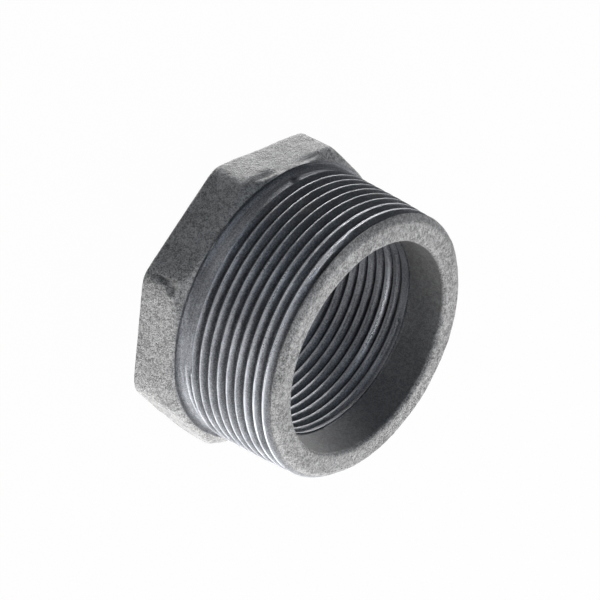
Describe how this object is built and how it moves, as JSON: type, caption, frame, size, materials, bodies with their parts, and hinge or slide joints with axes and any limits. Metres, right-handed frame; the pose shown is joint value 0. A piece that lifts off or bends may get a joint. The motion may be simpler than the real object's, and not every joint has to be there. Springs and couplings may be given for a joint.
{
  "type": "pipe bushing",
  "caption": "Octagonal reducing bushing with a taper male thread outside and a smaller parallel female thread inside, joining two sizes of steel pipe.",
  "frame": {"origin": "middle of the collar's end face, which the bushing stands on", "axes": "+Z along the pipe axis from the collar to the male end; +X and +Y through the middles of two of the octagon's flats"},
  "size_m": [0.0622, 0.0622, 0.035],
  "materials": {
    "black_iron": "black malleable iron, cast skin on collar, nose and recess, machined threads and band, light oil"
  },
  "bodies": {
    "root": {"bushing": "black_iron"}
  },
  "joints": []
}
